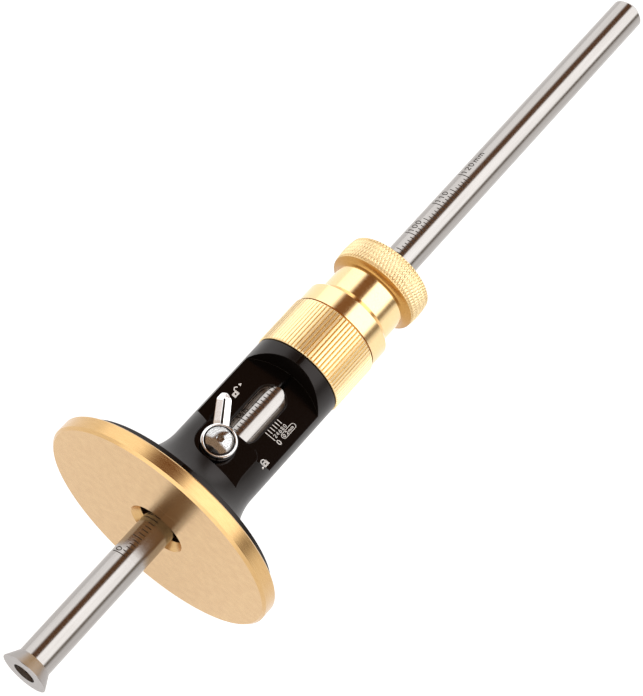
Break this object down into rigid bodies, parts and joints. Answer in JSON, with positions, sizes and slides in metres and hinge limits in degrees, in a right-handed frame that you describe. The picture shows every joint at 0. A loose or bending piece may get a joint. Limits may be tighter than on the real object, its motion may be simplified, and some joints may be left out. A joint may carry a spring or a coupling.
{
  "type": "wheel marking gauge",
  "caption": "Wheel marking gauge: graduated rod with a bevelled cutter wheel, round brass fence, vernier body with clamp lever, micro-adjusting ring and collet lock knob.",
  "frame": {"origin": "centre of the fence's working face, on the rod's axis", "axes": "+X along the rod to its tail (the cutter points to -X), +Z square to the vernier flat, +Y towards the side that the clamp lever points to when released"},
  "size_m": [0.216, 0.0577, 0.0576],
  "materials": {
    "satin_brass": "turned and lacquered brass, satin working face, polished edges",
    "knurled_brass": "knurled brass with bright crests",
    "black_anodised": "fine bead-blasted black anodising, polished flats, white filled marks",
    "rod_steel": "centreless-ground stainless steel with dark engraved millimetre marks",
    "cutter_steel": "hardened and ground tool steel",
    "bright_steel": "plain machined steel, hidden inside",
    "black_steel": "black oxide screw steel",
    "chrome_plate": "polished chrome plate",
    "black_polymer": "acetal bearing plastic"
  },
  "bodies": {
    "head": {"body_housing": "black_anodised", "fence_plate": "satin_brass", "fence_screws": "black_steel", "front_bush": "black_polymer", "thrust_washer": "black_polymer", "retaining_ring": "bright_steel", "backlash_spring": "bright_steel", "lever_washer": "bright_steel"},
    "adjuster": {"adjust_ring": "knurled_brass", "adjust_nut": "satin_brass"},
    "carrier": {"carrier_sleeve": "bright_steel"},
    "collet": {"collet": "bright_steel"},
    "knob": {"lock_knob": "knurled_brass", "collet_clip": "bright_steel"},
    "rod": {"graduated_rod": "rod_steel", "cutter_wheel": "cutter_steel", "cutter_screw": "bright_steel"},
    "shoe": {"clamp_shoe": "satin_brass"},
    "lever": {"clamp_lever": "chrome_plate", "clamp_stud": "bright_steel", "lever_cap_screw": "chrome_plate"}
  },
  "joints": [
    {"name": "ring_turn", "type": "hinge", "parent": "head", "child": "adjuster", "pos_m": [0.0535, 0, 0], "axis": [1, 0, 0], "range_deg": [-720, 720]},
    {"name": "carrier_slide", "type": "slide", "parent": "head", "child": "carrier", "axis": [1, 0, 0], "range_m": [-0.002, 0.002], "deforming": ["backlash_spring"]},
    {"name": "rod_slide", "type": "slide", "parent": "carrier", "child": "rod", "axis": [1, 0, 0], "range_m": [-0.078, 0.0426]},
    {"name": "collet_slide", "type": "slide", "parent": "carrier", "child": "collet", "axis": [1, 0, 0], "range_m": [0, 0.00075]},
    {"name": "knob_turn", "type": "hinge", "parent": "collet", "child": "knob", "pos_m": [0.0765, 0, 0], "axis": [1, 0, 0], "range_deg": [0, 270]},
    {"name": "shoe_slide", "type": "slide", "parent": "head", "child": "shoe", "axis": [0, 0, -1], "range_m": [0, 0.00023333]},
    {"name": "lever_swing", "type": "hinge", "parent": "shoe", "child": "lever", "pos_m": [0.0202, 0.0013, 0.0096], "axis": [0, 0, 1], "range_deg": [-105, 0]}
  ],
  "couplings": [
    {"joint": "carrier_slide", "follows": "ring_turn", "m_per_rad": -0.00015915},
    {"joint": "collet_slide", "follows": "knob_turn", "m_per_rad": 0.00015915},
    {"joint": "lever_swing", "follows": "shoe_slide", "rad_per_m": -7854}
  ]
}
